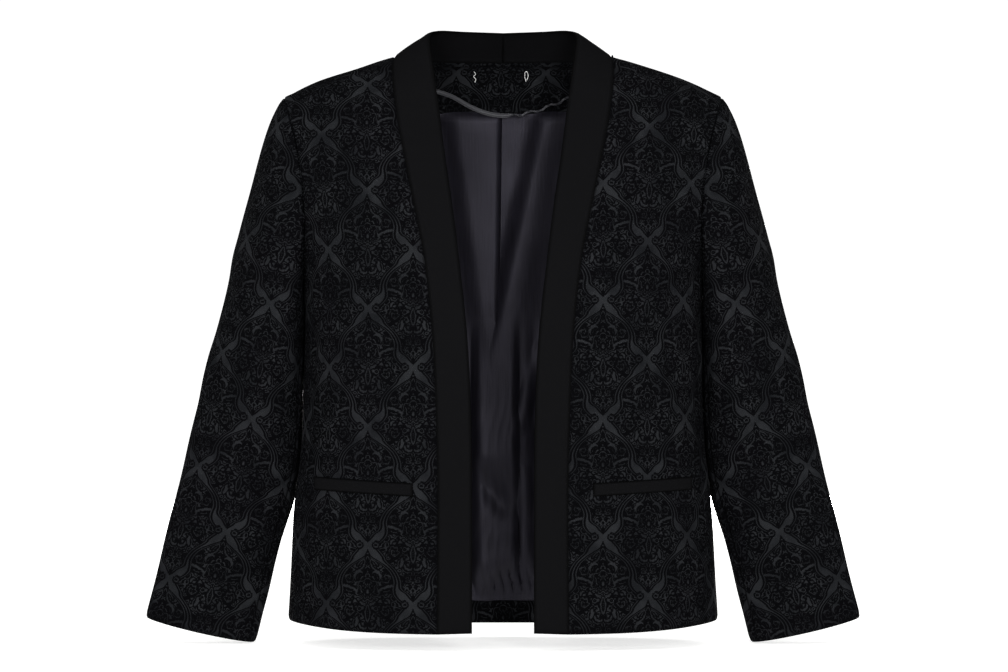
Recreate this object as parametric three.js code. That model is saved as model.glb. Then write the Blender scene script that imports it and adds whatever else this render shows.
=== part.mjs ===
// An open-front evening blazer, cropped and boxy, in the hollow shape that it has when worn.
// Damask fronts, back and sleeves, a plain band round the neck and down both front edges, two
// welt pockets, and inside the back a damask neck facing, a pleated lining and a hanger loop.
// Millimetres, +Z up, the front faces -Y and the wearer's left is +X. The origin lies between the
// two points where the shoulder seams meet the neck band.
import * as THREE from "three";

// Thickness of each cloth, and the gap between pieces at a seam.
const CLOTH = 1.8;
const BAND_CLOTH = 2.8;
const LINING_CLOTH = 1.0;
const FACING_CLOTH = 1.2;
const SEAM_GAP = 0.5;
const LAYER_GAP = 0.5;

// Heights of the main levels.
const UNDERARM_Z = -235;
const SHOULDER_TIP_Z = -41;
const SIDE_HEM_Z = -561;
const FRONT_HEM_DIP = 9;
const BACK_HEM_DIP = 11;
const NECK_HALF_WIDTH = 108;

// The worn shape: at each height, half the width and how far front and back stand from the side
// seam. Above the shoulder tip the half width is the shoulder line itself.
const ROUNDNESS = 2.4;
const FORM = [
  { z: -600, halfWidth: 216.5, front: 116, back: 111 },
  { z: -553, halfWidth: 214, front: 114, back: 109 },
  { z: -453, halfWidth: 208.5, front: 110.5, back: 102 },
  { z: -380, halfWidth: 201, front: 110, back: 98 },
  { z: -300, halfWidth: 198.5, front: 115, back: 102 },
  { z: -235, halfWidth: 199, front: 117, back: 108 },
  { z: -200, halfWidth: 203, front: 115, back: 111 },
  { z: -150, halfWidth: 215, front: 106, back: 112 },
  { z: -100, halfWidth: 229, front: 92, back: 108 },
  { z: -65, halfWidth: 233, front: 78, back: 102 },
  { z: -50, halfWidth: 228, front: 70, back: 98 },
  { z: -41, halfWidth: 219, front: 66, back: 95.5 },
  { z: -37, halfWidth: 212, front: 64, back: 94.5 },
  { z: -25, halfWidth: 185, front: 57, back: 90.5 },
  { z: -11, halfWidth: 145, front: 49, back: 85 },
  { z: -3, halfWidth: 121, front: 45, back: 81.3 },
  { z: 0, halfWidth: NECK_HALF_WIDTH, front: 44, back: 80 },
];

// Where the front and back are cut for the sleeve, as seen from the front.
const ARMHOLE = [
  { z: UNDERARM_Z, front: 199, back: 199 },
  { z: -200, front: 197.5, back: 200 },
  { z: -170, front: 197, back: 200.5 },
  { z: -133, front: 198.5, back: 203 },
  { z: -105, front: 202, back: 207 },
  { z: -85, front: 206, back: 210.5 },
  { z: -60, front: 213, back: 215 },
  { z: SHOULDER_TIP_Z, front: 219, back: 219 },
];

// The band's seam and its free edge, as seen from the front, and how far the free edge lies above
// the seam's end of the same line across the band.
const BAND = [
  { z: -600, seam: 64.6, edge: 30.6, rise: 1.4 },
  { z: -440, seam: 63.7, edge: 30.6, rise: 0 },
  { z: -360, seam: 65.2, edge: 31.4, rise: 0 },
  { z: -283, seam: 68.4, edge: 35, rise: 1 },
  { z: -205, seam: 76.5, edge: 43.5, rise: 4 },
  { z: -160, seam: 85, edge: 49.5, rise: 7 },
  { z: -112, seam: 94.8, edge: 57, rise: 10 },
  { z: -63, seam: 104.4, edge: 64, rise: 14 },
  { z: -30, seam: 108.8, edge: 69.5, rise: 18 },
  { z: -8, seam: 110, edge: 73, rise: 20 },
  { z: 0, seam: NECK_HALF_WIDTH, edge: 73.5, rise: 23 },
];

// The band's free edge where it stands round the neck, from the shoulder to the centre back. The
// angle is that of the seam's point, 90 degrees at the shoulder and 0 at the centre back.
const COLLAR = [
  { angle: 0, x: 0, y: 54, z: 28 },
  { angle: 30, x: 38.5, y: 53, z: 29.2 },
  { angle: 55, x: 62.5, y: 39, z: 29.6 },
  { angle: 75, x: 72, y: 20.5, z: 27 },
  { angle: 90, x: 73.5, y: 2, z: 23 },
];
const BAND_BULGE = 0.8;

// The sleeve, from the armhole to the cuff: its outer line and its inner line as seen from the
// front, how far behind the shoulder line they lie, and how far it stands to front and back.
const SLEEVE = [
  { along: 0, outerX: 219.5, outerZ: -41, innerX: 200.2, innerZ: -235.5, y: 0, front: 50, back: 56 },
  { along: 0.02, outerX: 225, outerZ: -48.5, innerX: 200.3, innerZ: -242, y: 1, front: 53, back: 59 },
  { along: 0.06, outerX: 234, outerZ: -67, innerX: 200.3, innerZ: -253, y: 5, front: 57, back: 62 },
  { along: 0.12, outerX: 244, outerZ: -97, innerX: 200, innerZ: -268, y: 10, front: 60, back: 64 },
  { along: 0.2, outerX: 255, outerZ: -138, innerX: 199.4, innerZ: -289, y: 14, front: 60, back: 63 },
  { along: 0.35, outerX: 274, outerZ: -215, innerX: 198.6, innerZ: -330, y: 20, front: 55, back: 56 },
  { along: 0.5, outerX: 293, outerZ: -293, innerX: 200.8, innerZ: -376, y: 21, front: 47, back: 48 },
  { along: 0.65, outerX: 312, outerZ: -373, innerX: 206.8, innerZ: -429, y: 20, front: 38, back: 39 },
  { along: 0.8, outerX: 331, outerZ: -452, innerX: 222, innerZ: -484, y: 18, front: 29, back: 30 },
  { along: 1, outerX: 358.5, outerZ: -560, innerX: 248.5, innerZ: -585, y: 14, front: 20, back: 21 },
];
const CUFF_DIP = 3;
const ARMHOLE_FADES_AT = 0.3;
const ROLL_STARTS_Z = -130;
const ROLL_ENDS_Z = -60;
const CUFF_RINGS = 15;
// The columns where the sleeve's two seams run, counted from the underarm up the front.
const FRONT_SEAM_COLUMN = 2;
const BACK_SEAM_COLUMN = 21;

// Welt pockets: the upper edge's two ends, and the welt's height and thickness.
const WELT = { innerX: 88.4, innerZ: -423.2, outerX: 185.5, outerZ: -418, height: 12.3, thick: 2 };

// Inside the back, where the layers' edges lie on or between the back's rows. The facing reaches
// FACING_ROWS down from the shoulder, 51 mm at the centre, and the hem is turned up 23 mm.
const FACING_ROWS = 4;
const HEM_TURN_UP_ROWS = 0.75;
const LAYER_MARGIN = 0.1;

// The lining's largest folds: soft ridges (positive) and troughs, each from one end to the other
// as seen from the front, with its height and half its width.
const LINING_FOLDS = [
  { fromX: -52, fromZ: -60, toX: -14, toZ: -292, height: 9, half: 15 },
  { fromX: 48, fromZ: -60, toX: -6, toZ: -298, height: 10, half: 17 },
  { fromX: -4, fromZ: -50, toX: -9, toZ: -300, height: 6, half: 9 },
  { fromX: 8, fromZ: -70, toX: -2, toZ: -250, height: -2, half: 10 },
  { fromX: -10, fromZ: -296, toX: -12, toZ: -420, height: 7, half: 17 },
  { fromX: 4, fromZ: -300, toX: 22, toZ: -400, height: 5, half: 12 },
  { fromX: -16, fromZ: -430, toX: 12, toZ: -500, height: 5, half: 14 },
  { fromX: -24, fromZ: -512, toX: 26, toZ: -508, height: 5, half: 14 },
  { fromX: -96, fromZ: -80, toX: -88, toZ: -520, height: 4, half: 20 },
  { fromX: 94, fromZ: -80, toX: 100, toZ: -500, height: 4, half: 22 },
  { fromX: -140, fromZ: -150, toX: -134, toZ: -530, height: 4, half: 18 },
  { fromX: 142, fromZ: -180, toX: 136, toZ: -530, height: 4, half: 18 },
];

// Hanger loop: a ribbon sewn at both ends, that hangs across the back of the neck.
const LOOP = [
  { x: -70, y: 83.1, z: -29 },
  { x: -52, y: 84.6, z: -35 },
  { x: -32, y: 85.4, z: -46 },
  { x: -12, y: 86, z: -53 },
  { x: 10, y: 86.2, z: -54.5 },
  { x: 32, y: 86.2, z: -50 },
  { x: 52, y: 86.2, z: -43 },
  { x: 68, y: 86, z: -36 },
];
const LOOP_WIDTH = 5;
const LOOP_THICK = 1.0;
const LOOP_STEPS = 18;

// How finely the pieces are divided. DENSE is the steps in which a row's length is measured.
const LOWER_ROWS = 11;
const UPPER_ROWS = 13;
const FRONT_COLUMNS = 9;
const BACK_INNER_COLUMNS = 8;
const BACK_OUTER_COLUMNS = 6;
const BAND_COLUMNS = 3;
const LINING_ROWS = 20;
const LINING_HALVED_TO = 5;
const DENSE = 160;

const { lerp, smoothstep, radToDeg } = THREE.MathUtils;

// The value of one column of a table at a key, on a smooth curve through its rows.
function along(table, keyName, name, key) {
  let i = 0;
  while (i < table.length - 2 && key > table[i + 1][keyName]) i += 1;
  const at = (j) => table[Math.min(Math.max(j, 0), table.length - 1)];
  const slope = (j) => {
    const before = at(j - 1);
    const after = at(j + 1);
    return (after[name] - before[name]) / (after[keyName] - before[keyName]);
  };
  const step = at(i + 1)[keyName] - at(i)[keyName];
  const t = (key - at(i)[keyName]) / step;
  const t2 = t * t;
  const t3 = t2 * t;
  return (
    (2 * t3 - 3 * t2 + 1) * at(i)[name] +
    (t3 - 2 * t2 + t) * step * slope(i) +
    (3 * t2 - 2 * t3) * at(i + 1)[name] +
    (t3 - t2) * step * slope(i + 1)
  );
}

// The worn shape as a surface: side is -1 in front and 1 behind.
const halfWidth = (z) => along(FORM, "z", "halfWidth", z);
const depth = (z, side) => along(FORM, "z", side < 0 ? "front" : "back", z);

function formY(x, z, side) {
  const share = Math.min(1, Math.abs(x) / halfWidth(z));
  const reach = depth(z, side) * (1 - share ** ROUNDNESS) ** (1 / ROUNDNESS);
  return side * Math.max(SEAM_GAP / 2, reach);
}

function formNormal(p, side) {
  const h = 0.5;
  const a = halfWidth(p.z);
  const b = depth(p.z, side);
  const aSlope = (halfWidth(p.z + h) - halfWidth(p.z - h)) / (2 * h);
  const bSlope = (depth(p.z + h, side) - depth(p.z - h, side)) / (2 * h);
  const x = Math.abs(p.x) / a;
  const y = Math.abs(p.y) <= SEAM_GAP / 2 ? 0 : Math.abs(p.y) / b;
  return new THREE.Vector3(
    (Math.sign(p.x) * x ** (ROUNDNESS - 1)) / a,
    (side * y ** (ROUNDNESS - 1)) / b,
    (-(x ** ROUNDNESS) * aSlope) / a - (y ** ROUNDNESS * bSlope) / b,
  ).normalize();
}

const onForm = (x, z, side) => new THREE.Vector3(x, formY(x, z, side), z);
const moved = (p, side, out) => p.clone().addScaledVector(formNormal(p, side), out);

// Height of the shoulder seam at a distance from the centre; across the neck it is level.
function shoulderZ(x) {
  if (x <= NECK_HALF_WIDTH) return 0;
  let low = SHOULDER_TIP_Z;
  let high = 0;
  for (let i = 0; i < 40; i += 1) {
    const middle = (low + high) / 2;
    if (halfWidth(middle) > x) low = middle;
    else high = middle;
  }
  return (low + high) / 2;
}

// One row across a panel. Below the underarm, level is 0 at the hem and 1 at the underarm; above
// it, from there to 1 at the shoulder seam. The row's height at a distance x from the centre:
function rowHeight(zone, level, side) {
  if (zone === "upper") return (x) => lerp(UNDERARM_Z, shoulderZ(x), level);
  const dip = side < 0 ? FRONT_HEM_DIP : BACK_HEM_DIP;
  return (x) => {
    const share = Math.min(1, x / halfWidth(SIDE_HEM_Z));
    return lerp(SIDE_HEM_Z - dip * (1 - share ** 4), UNDERARM_Z, level);
  };
}

// The x where a row meets an edge that is given as x at each height.
function meets(heightAt, edgeAt, start) {
  let x = start;
  for (let i = 0; i < 30; i += 1) x = edgeAt(heightAt(x));
  return x;
}

const bandSeamX = (z) => along(BAND, "z", "seam", z);
const armholeX = (z, side) => along(ARMHOLE, "z", side < 0 ? "front" : "back", z);
const outerEdge = (zone, side) => (z) => (zone === "upper" ? armholeX(z, side) : halfWidth(z));

// Evenly spaced points of a row from one x to another, on the form.
function spaced(heightAt, fromX, toX, count, side) {
  const dense = [];
  for (let i = 0; i <= DENSE; i += 1) {
    const x = lerp(fromX, toX, Math.sin((Math.PI / 2) * (i / DENSE)));
    dense.push(onForm(x, heightAt(x), side));
  }
  const reached = [0];
  dense.slice(1).forEach((p, i) => reached.push(reached[i] + p.distanceTo(dense[i])));
  return Array.from({ length: count + 1 }, (_, k) => {
    const want = (reached[DENSE] * k) / count;
    let i = 0;
    while (i < DENSE - 1 && reached[i + 1] < want) i += 1;
    const x = lerp(dense[i].x, dense[i + 1].x, (want - reached[i]) / (reached[i + 1] - reached[i]));
    const placed = onForm(Math.min(x, toX), heightAt(Math.min(x, toX)), side);
    return k === count ? dense[DENSE].clone() : placed;
  });
}

// Every row of a panel's half, from the hem to the shoulder seam.
const LEVELS = [
  ...Array.from({ length: LOWER_ROWS }, (_, i) => ({ zone: "lower", level: i / LOWER_ROWS })),
  ...Array.from({ length: UPPER_ROWS + 1 }, (_, i) => ({
    zone: "upper",
    level: (1 - Math.cos((Math.PI * i) / UPPER_ROWS)) / 2,
  })),
];

const frontRows = LEVELS.map(({ zone, level }) => {
  const heightAt = rowHeight(zone, level, -1);
  const inner = meets(heightAt, bandSeamX, NECK_HALF_WIDTH);
  const outer = meets(heightAt, outerEdge(zone, -1), NECK_HALF_WIDTH);
  return spaced(heightAt, inner, outer, FRONT_COLUMNS, -1);
});

const backHalfRows = LEVELS.map(({ zone, level }) => {
  const heightAt = rowHeight(zone, level, 1);
  const outer = meets(heightAt, outerEdge(zone, 1), NECK_HALF_WIDTH);
  return [
    ...spaced(heightAt, 0, NECK_HALF_WIDTH, BACK_INNER_COLUMNS, 1),
    ...spaced(heightAt, NECK_HALF_WIDTH, outer, BACK_OUTER_COLUMNS, 1).slice(1),
  ];
});

const mirrored = (p) => new THREE.Vector3(-p.x, p.y, p.z);
const mirroredGrid = (grid) => grid.map((row) => row.map(mirrored));
const wholeRows = (half) => half.map((row) => [...row.slice(1).reverse().map(mirrored), ...row]);

// A closed wall between two grids of points.
function wall(outer, inner) {
  const rows = outer.length;
  const columns = outer[0].length;
  const points = [...outer.flat(), ...inner.flat()];
  const faces = [];
  const at = (skin, r, c) => skin * rows * columns + r * columns + c;
  const quad = (a, b, c, d) => faces.push(a, b, c, a, c, d);
  const spans = columns - 1;
  for (let r = 0; r < rows - 1; r += 1)
    for (let c = 0; c < spans; c += 1) {
      quad(at(0, r, c), at(0, r, c + 1), at(0, r + 1, c + 1), at(0, r + 1, c));
      quad(at(1, r, c), at(1, r + 1, c), at(1, r + 1, c + 1), at(1, r, c + 1));
    }
  for (let c = 0; c < spans; c += 1) {
    const last = rows - 1;
    quad(at(0, 0, c), at(1, 0, c), at(1, 0, c + 1), at(0, 0, c + 1));
    quad(at(0, last, c), at(0, last, c + 1), at(1, last, c + 1), at(1, last, c));
  }
  for (let r = 0; r < rows - 1; r += 1) {
    quad(at(0, r, 0), at(0, r + 1, 0), at(1, r + 1, 0), at(1, r, 0));
    quad(at(0, r, spans), at(1, r, spans), at(1, r + 1, spans), at(0, r + 1, spans));
  }
  const geometry = new THREE.BufferGeometry();
  geometry.setAttribute(
    "position",
    new THREE.Float32BufferAttribute(points.flatMap((p) => [p.x, p.y, p.z]), 3),
  );
  geometry.setIndex(volumeOf(points, faces) < 0 ? faces.reverse() : faces);
  geometry.computeVertexNormals();
  return geometry;
}

function volumeOf(points, faces) {
  let sum = 0;
  for (let i = 0; i < faces.length; i += 3) {
    const [a, b, c] = [points[faces[i]], points[faces[i + 1]], points[faces[i + 2]]];
    sum += a.dot(b.clone().cross(c)) / 6;
  }
  return sum;
}

// Both skins of a cloth that lies on the form, from one distance out of it to another.
const skinsOf = (grid, side, from, to) => [
  grid.map((row) => row.map((p) => moved(p, side, to))),
  grid.map((row) => row.map((p) => moved(p, side, from))),
];

// The neck band: lines across it from the seam to the free edge, first up the front from the hem
// to the shoulder, and then round the neck to the centre back. Its seam keeps the corners of the
// pieces that it is sewn to.
function bandStations() {
  const stations = frontRows.map((row) => {
    const seam = row[0].clone();
    const edgeZ = seam.z + along(BAND, "z", "rise", seam.z);
    const edge = onForm(along(BAND, "z", "edge", seam.z), edgeZ, -1);
    const toNeck = smoothstep(seam.z, -100, -30);
    edge.y = lerp(formY(edge.x, Math.min(edgeZ, -35), -1), seam.y + COLLAR.at(-1).y, toNeck);
    return { seam, edge, normal: formNormal(seam, -1) };
  });
  stations.at(-1).seam.y = 0;
  const neck = backHalfRows.at(-1).slice(0, BACK_INNER_COLUMNS).reverse();
  for (const point of neck) {
    const angle = radToDeg(Math.asin((point.x / NECK_HALF_WIDTH) ** (ROUNDNESS / 2)));
    const edge = new THREE.Vector3(...["x", "y", "z"].map((n) => along(COLLAR, "angle", n, angle)));
    stations.push({ seam: point.clone(), edge, normal: formNormal(point, 1) });
  }
  const { seam, edge } = stations.at(-1);
  seam.x = SEAM_GAP / 2;
  edge.x = SEAM_GAP / 2;
  return stations;
}

function band() {
  const stations = bandStations();
  const middle = stations.map(({ seam, edge }) => {
    const across = edge.clone().sub(seam);
    const from = seam.clone().addScaledVector(across.clone().normalize(), SEAM_GAP);
    return Array.from({ length: BAND_COLUMNS + 1 }, (_, c) =>
      edge.clone().lerp(from, c / BAND_COLUMNS),
    );
  });
  const normals = middle.map((row, r) =>
    row.map((p, c) => {
      if (c === BAND_COLUMNS) return stations[r].normal;
      const before = middle[Math.max(r - 1, 0)][c];
      const after = middle[Math.min(r + 1, middle.length - 1)][c];
      const up = after.clone().sub(before);
      return up.cross(row.at(-1).clone().sub(row[0])).normalize();
    }),
  );
  const skin = (out) =>
    middle.map((row, r) =>
      row.map((p, c) => {
        const bulge = BAND_BULGE * Math.sin((Math.PI * c) / BAND_COLUMNS);
        return p.clone().addScaledVector(normals[r][c], out + bulge);
      }),
    );
  const proud = (BAND_CLOTH - CLOTH) / 2;
  return [skin(proud), skin(proud - BAND_CLOTH)];
}

// The sleeve: rings from the armhole to the cuff. Each point of the first ring is an end of a
// front or back row, so that sleeve and armhole keep the same corners.
function sleeve() {
  const frontEnds = frontRows.slice(LOWER_ROWS).map((row) => row.at(-1));
  const backEnds = backHalfRows.slice(LOWER_ROWS).map((row) => row.at(-1));
  const loop = [...frontEnds, ...backEnds.slice(1, -1).reverse()].map((p) => p.clone());
  loop[0].y = 0;
  loop[UPPER_ROWS].y = 0;
  const sides = loop.map((_, j) => (j <= UPPER_ROWS ? -1 : 1));
  const shares = loop.map((_, j) => {
    const k = j <= UPPER_ROWS ? j : 2 * UPPER_ROWS - j;
    return LEVELS[LOWER_ROWS + k].level;
  });
  const ring = (t) => {
    const value = (name) => along(SLEEVE, "along", name, t);
    const outer = new THREE.Vector3(value("outerX"), 0, value("outerZ"));
    const inner = new THREE.Vector3(value("innerX"), 0, value("innerZ"));
    return loop.map((_, j) => {
      const turn = Math.acos(1 - 2 * shares[j]);
      const even = (Math.PI * (j <= UPPER_ROWS ? j : 2 * UPPER_ROWS - j)) / UPPER_ROWS;
      const angle = lerp(turn, even, t);
      const p = inner.clone().lerp(outer, (1 - Math.cos(angle)) / 2);
      const reach = value(sides[j] < 0 ? "front" : "back");
      p.y = value("y") + sides[j] * Math.sin(angle) * reach;
      p.z -= CUFF_DIP * t * Math.sin(angle);
      return p;
    });
  };
  const start = ring(0);
  const rings = Array.from({ length: CUFF_RINGS + 1 }, (_, k) => {
    const t = (k / CUFF_RINGS) ** 1.25;
    const fade = 1 - smoothstep(t, 0, ARMHOLE_FADES_AT);
    return ring(t).map((p, j) => p.add(loop[j].clone().sub(start[j]).multiplyScalar(fade)));
  });
  rings[0].forEach((p, j) => {
    const away = rings[1][j].clone().sub(p).normalize();
    p.addScaledVector(away, SEAM_GAP);
  });
  const count = loop.length;
  const inner = rings.map((points, r) =>
    points.map((p, j) => {
      const down = rings[Math.min(r + 1, CUFF_RINGS)][j].clone().sub(rings[Math.max(r - 1, 0)][j]);
      const round = points[(j + 1) % count].clone().sub(points[(j + count - 1) % count]);
      const normal = down.cross(round).normalize();
      if (r === 0) {
        const roll = smoothstep(loop[j].z, ROLL_STARTS_Z, ROLL_ENDS_Z);
        normal.lerp(formNormal(loop[j], sides[j]), roll).normalize();
      }
      return p.clone().addScaledVector(normal, -CLOTH);
    }),
  );
  return [rings, inner];
}

// One of the sleeve's two pieces: what lies between two of its columns, drawn in at each seam.
function sleevePiece(skins, fromColumn, toColumn) {
  const count = skins[0][0].length;
  const draw = (end, next) =>
    end.clone().addScaledVector(next.clone().sub(end).normalize(), SEAM_GAP / 2);
  return skins.map((skin) =>
    skin.map((points) => {
      const piece = Array.from(
        { length: toColumn - fromColumn + 1 },
        (_, i) => points[(fromColumn + i) % count],
      );
      return [draw(piece[0], piece[1]), ...piece.slice(1, -1), draw(piece.at(-1), piece.at(-2))];
    }),
  );
}

// A welt on the front: a strip on the form, moved out.
function welt() {
  const grid = [0, 0.5, 1].map((down) =>
    Array.from({ length: 11 }, (_, i) => {
      const x = lerp(WELT.innerX, WELT.outerX, i / 10);
      const top = lerp(WELT.innerZ, WELT.outerZ, i / 10);
      return onForm(x, top - down * WELT.height, -1);
    }),
  );
  return skinsOf(grid, -1, LAYER_GAP, LAYER_GAP + WELT.thick);
}

// A point of the back between its own rows, counted from the hem, and its own columns, counted
// from the centre.
const backRows = wholeRows(backHalfRows);
const SIDE_COLUMN = BACK_INNER_COLUMNS + BACK_OUTER_COLUMNS;
const TOP_ROW = backRows.length - 1;

function onBack(row, column) {
  const r = Math.min(Math.floor(row), TOP_ROW - 1);
  const c = Math.min(Math.floor(column + SIDE_COLUMN), 2 * SIDE_COLUMN - 1);
  const across = (i) => backRows[i][c].clone().lerp(backRows[i][c + 1], column + SIDE_COLUMN - c);
  return across(r).lerp(across(r + 1), row - r);
}

// A layer on the inside of the back, made from the back's points at the rows and columns given.
function innerLayer(rows, columns, thick, foldAt = () => 0) {
  const skin = (out) =>
    rows.map((row, r) =>
      columns.map((column) => {
        const p = onBack(row, column);
        return moved(p, 1, out - CLOTH - LAYER_GAP - foldAt(p, r / (rows.length - 1)));
      }),
    );
  return wall(skin(0), skin(-thick));
}

// Columns from side to side: the centre ones halved for folds, and the last just off the seam.
function layerColumns(halvedTo = 0) {
  const right = [];
  for (let c = 0; c < SIDE_COLUMN; c += c < halvedTo ? 0.5 : 1) right.push(c);
  right.push(SIDE_COLUMN - LAYER_MARGIN);
  return [...right.slice(1).reverse().map((c) => -c), ...right];
}

const steps = (from, to, count) =>
  Array.from({ length: count + 1 }, (_, i) => lerp(from, to, i / count));

const facing = () =>
  innerLayer(
    steps(TOP_ROW - FACING_ROWS, TOP_ROW - 1, FACING_ROWS - 1),
    layerColumns(),
    FACING_CLOTH,
  );

const hemTurnUp = () =>
  innerLayer(steps(0.02, HEM_TURN_UP_ROWS, 2), layerColumns(), FACING_CLOTH);

// How far the lining's folds stand off the back at a place seen from the front.
function liningFold({ x, z }, share) {
  let height = 0;
  for (const fold of LINING_FOLDS) {
    const dx = fold.toX - fold.fromX;
    const dz = fold.toZ - fold.fromZ;
    const part = ((x - fold.fromX) * dx + (z - fold.fromZ) * dz) / (dx * dx + dz * dz);
    const nearest = Math.min(1, Math.max(0, part));
    const gap = Math.hypot(x - fold.fromX - nearest * dx, z - fold.fromZ - nearest * dz);
    height += fold.height * Math.exp(-((gap / fold.half) ** 2));
  }
  return Math.max(0, height) * smoothstep(Math.min(share, 1 - share), 0, 0.07);
}

const lining = () =>
  innerLayer(
    steps(HEM_TURN_UP_ROWS + 0.02, TOP_ROW - FACING_ROWS - 0.03, LINING_ROWS),
    layerColumns(LINING_HALVED_TO),
    LINING_CLOTH,
    liningFold,
  );

function hangerLoop() {
  const keyed = LOOP.map((row, i) => ({ ...row, i }));
  const place = (t) => new THREE.Vector3(...["x", "y", "z"].map((n) => along(keyed, "i", n, t)));
  const skin = (behind) =>
    Array.from({ length: LOOP_STEPS + 1 }, (_, k) => {
      const t = (k / LOOP_STEPS) * (LOOP.length - 1);
      const step = place(Math.min(t + 0.1, LOOP.length - 1)).sub(place(Math.max(t - 0.1, 0)));
      const up = new THREE.Vector3(-step.z, 0, step.x).normalize();
      const p = place(t);
      p.y += behind;
      return [-0.5, 0, 0.5].map((share) => p.clone().addScaledVector(up, share * LOOP_WIDTH));
    });
  return wall(skin(0), skin(-LOOP_THICK));
}

// Finishes.
const damask = () =>
  new THREE.MeshStandardMaterial({ color: 0x17171a, roughness: 0.85, metalness: 0 });
const crepe = () =>
  new THREE.MeshStandardMaterial({ color: 0x1b1b1e, roughness: 0.75, metalness: 0 });
const satin = () =>
  new THREE.MeshStandardMaterial({ color: 0x2b2a33, roughness: 0.4, metalness: 0 });

function named(name, geometry, material) {
  const mesh = new THREE.Mesh(geometry, material);
  mesh.name = name;
  return mesh;
}

// A pair of pieces, the wearer's left as modelled and the right mirrored.
function pair(name, skins, material) {
  const group = new THREE.Group();
  group.add(
    named(`${name}_left`, wall(...skins), material()),
    named(`${name}_right`, wall(...skins.map(mirroredGrid)), material()),
  );
  return group;
}

const body = new THREE.Group();
body.add(pair("front", skinsOf(frontRows, -1, -CLOTH, 0), damask));
body.add(named("back", wall(...skinsOf(backRows, 1, -CLOTH, 0)), damask()));

const sleeveSkins = sleeve();
const sleeveColumns = sleeveSkins[0][0].length;
const sleeves = new THREE.Group();
sleeves.add(
  pair("top_sleeve", sleevePiece(sleeveSkins, FRONT_SEAM_COLUMN, BACK_SEAM_COLUMN), damask),
  pair(
    "under_sleeve",
    sleevePiece(sleeveSkins, BACK_SEAM_COLUMN, sleeveColumns + FRONT_SEAM_COLUMN),
    damask,
  ),
);
const neckBand = pair("band", band(), crepe);

const pockets = pair("pocket_welt", welt(), crepe);

const inside = new THREE.Group();
inside.add(named("back_facing", facing(), damask()));
inside.add(named("back_lining", lining(), satin()));
inside.add(named("back_hem_turn_up", hemTurnUp(), damask()));
inside.add(named("hanger_loop", hangerLoop(), satin()));

const blazer = new THREE.Group();
blazer.add(body, sleeves, neckBand, pockets, inside);

export default blazer;
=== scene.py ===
import bpy
import numpy as np
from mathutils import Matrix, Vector


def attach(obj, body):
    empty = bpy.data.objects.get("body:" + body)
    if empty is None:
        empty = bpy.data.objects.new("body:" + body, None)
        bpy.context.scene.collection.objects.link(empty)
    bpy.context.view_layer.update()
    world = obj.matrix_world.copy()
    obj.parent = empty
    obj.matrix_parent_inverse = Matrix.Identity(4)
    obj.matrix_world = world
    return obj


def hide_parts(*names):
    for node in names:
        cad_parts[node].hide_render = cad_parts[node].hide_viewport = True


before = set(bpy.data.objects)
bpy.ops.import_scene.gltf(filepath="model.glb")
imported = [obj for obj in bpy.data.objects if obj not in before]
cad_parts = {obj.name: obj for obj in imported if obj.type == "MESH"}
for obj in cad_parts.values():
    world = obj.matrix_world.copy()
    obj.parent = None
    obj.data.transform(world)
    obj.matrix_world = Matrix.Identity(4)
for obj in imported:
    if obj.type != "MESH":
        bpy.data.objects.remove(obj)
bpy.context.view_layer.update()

# The back: one panel of polyester damask, in the worn shape. A velvet figure is flocked in the
# form of a half-drop lattice on a satin ground. It is cut on the straight grain, and sewn to the
# fronts at the shoulders and sides, to the sleeves and to the neck band.
MM = 0.001
CLOTH = 1.8

# A cloth rolls into its seam: where it starts to, how far it laps over the seam's line, how deep
# it sinks there, and the shares of its thickness that it keeps at its edge and at least.
EDGE_ROLL = 1.1
SEAM_LAP = 0.4
SEAM_SINK = 1.3
EDGE_THINNESS = 0.35
LEAST_HALF = 0.3

# The worn form: how square its rounding is, its main places, how the hems dip, and in how many
# steps its lines are followed.
ROUNDNESS = 2.4
UNDERARM_Z = -235
SHOULDER_TIP_Z = -41
NECK_HALF_WIDTH = 108
SIDE_HEM_Z = -561
BACK_HEM_DIP = 11
FRONT_HEM_DIP = 9
HEM_FLATNESS = 4
BODY_MIDDLE = (0, 0, -300)
SHOULDER_STEPS = 400
ROW_STEPS = 500
MEETING_STEPS = 30

# Height, half the width, and how far front and back stand from the side seam.
WORN_FORM = [
    (-600, 216.5, 116, 111),
    (-553, 214, 114, 109),
    (-453, 208.5, 110.5, 102),
    (-380, 201, 110, 98),
    (-300, 198.5, 115, 102),
    (-235, 199, 117, 108),
    (-200, 203, 115, 111),
    (-150, 215, 106, 112),
    (-100, 229, 92, 108),
    (-65, 233, 78, 102),
    (-50, 228, 70, 98),
    (-41, 219, 66, 95.5),
    (-37, 212, 64, 94.5),
    (-25, 185, 57, 90.5),
    (-11, 145, 49, 85),
    (-3, 121, 45, 81.3),
    (0, 108, 44, 80),
]

# Height, and the armhole's edge as seen from the front, in the front and in the back.
ARMHOLE = [
    (-235, 199, 199),
    (-200, 197.5, 200),
    (-170, 197, 200.5),
    (-133, 198.5, 203),
    (-105, 202, 207),
    (-85, 206, 210.5),
    (-60, 213, 215),
    (-41, 219, 219),
]


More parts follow.
